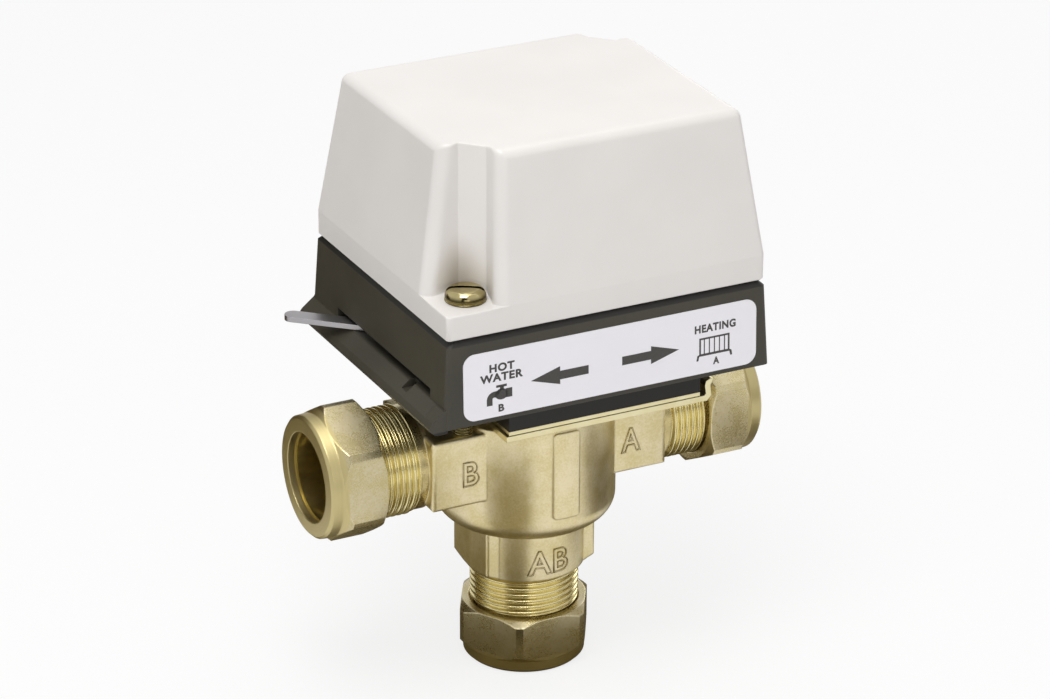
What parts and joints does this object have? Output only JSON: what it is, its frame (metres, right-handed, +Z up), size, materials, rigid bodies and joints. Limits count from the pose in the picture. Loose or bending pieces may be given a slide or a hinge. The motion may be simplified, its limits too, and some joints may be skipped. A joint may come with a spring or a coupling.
{
  "type": "diverter valve",
  "caption": "Three-port diverter valve: brass tee body with compression nuts, paddle and ball inside, under a motor head with gear quadrant, manual lever and screwed cover.",
  "frame": {"origin": "centre of the bottom nut's mouth, on the valve axis", "axes": "+Z up along the valve axis; +X towards port A and the right-hand end of the label; -Y is the label side"},
  "size_m": [0.1176, 0.0762, 0.1469],
  "materials": {
    "body_brass": "satin hot-stamped brass with turned ends",
    "olive_brass": "bright turned brass",
    "plated_plate": "yellow passivated zinc plate on steel",
    "yellow_screw": "yellow passivated steel, bright",
    "plain_steel": "bright zinc plated steel",
    "lever_steel": "grey sheet steel with rubbed edges",
    "spring_steel": "drawn spring wire",
    "motor_metal": "pressed and plated can",
    "base_plastic": "dark grey moulded plastic, faintly textured",
    "cover_plastic": "off-white glossy moulded plastic",
    "label_film": "white printed label film",
    "gear_plastic": "natural acetal",
    "switch_plastic": "dark red moulded switch case",
    "button_plastic": "white moulded plastic",
    "rubber": "black nitrile rubber"
  },
  "bodies": {
    "housing": {"valve_body": "body_brass", "bonnet": "body_brass", "bonnet_seal": "rubber", "port_a_olive": "olive_brass", "port_b_olive": "olive_brass", "port_ab_olive": "olive_brass", "body_plate": "plated_plate", "body_plate_screws": "plain_steel", "head_plate": "plated_plate", "head_plate_screws": "plain_steel", "locking_screws": "yellow_screw", "base": "base_plastic", "label": "label_film", "cable_grommet": "rubber", "cable_clamp": "button_plastic", "clamp_screws": "plain_steel", "return_spring": "spring_steel", "deck_plate": "plain_steel", "deck_screws": "plain_steel", "motor_can": "motor_metal", "motor_gear_case": "motor_metal", "motor_screws": "plain_steel", "microswitch": "switch_plastic", "switch_screws": "plain_steel", "cover": "cover_plastic", "cover_screws": "yellow_screw"},
    "drive": {"spindle": "plain_steel", "spindle_seals": "rubber", "paddle_arm": "olive_brass", "valve_ball": "rubber", "quadrant_gear": "gear_plastic", "manual_lever": "lever_steel", "lever_rivets": "plain_steel"},
    "pinion": {"motor_pinion": "gear_plastic"},
    "plunger": {"switch_plunger": "button_plastic"},
    "nut_a": {"port_a_nut": "body_brass"},
    "nut_b": {"port_b_nut": "body_brass"},
    "nut_ab": {"port_ab_nut": "body_brass"}
  },
  "joints": [
    {"name": "valve_swing", "type": "hinge", "parent": "housing", "child": "drive", "pos_m": [0, -0.0126, 0], "axis": [0, 0, 1], "range_deg": [0, 51.68], "stiffness_Nm_per_rad": 0.05, "springref_deg": -10},
    {"name": "pinion_turn", "type": "hinge", "parent": "housing", "child": "pinion", "pos_m": [0.02475, 0.01215, 0], "axis": [0, 0, 1], "range_deg": [-320, 0]},
    {"name": "plunger_press", "type": "slide", "parent": "housing", "child": "plunger", "axis": [0, -1, 0], "range_m": [0, 0.0006]},
    {"name": "nut_a_turn", "type": "hinge", "parent": "housing", "child": "nut_a", "pos_m": [0.0588, 0, 0.0594], "axis": [1, 0, 0], "continuous": true},
    {"name": "nut_b_turn", "type": "hinge", "parent": "housing", "child": "nut_b", "pos_m": [-0.0588, 0, 0.0594], "axis": [-1, 0, 0], "continuous": true},
    {"name": "nut_ab_turn", "type": "hinge", "parent": "housing", "child": "nut_ab", "pos_m": [0, 0, 0], "axis": [0, 0, -1], "continuous": true}
  ],
  "couplings": [
    {"joint": "pinion_turn", "follows": "valve_swing", "ratio": -6},
    {"joint": "plunger_press", "follows": "valve_swing", "m_per_rad": 0.00066515}
  ]
}
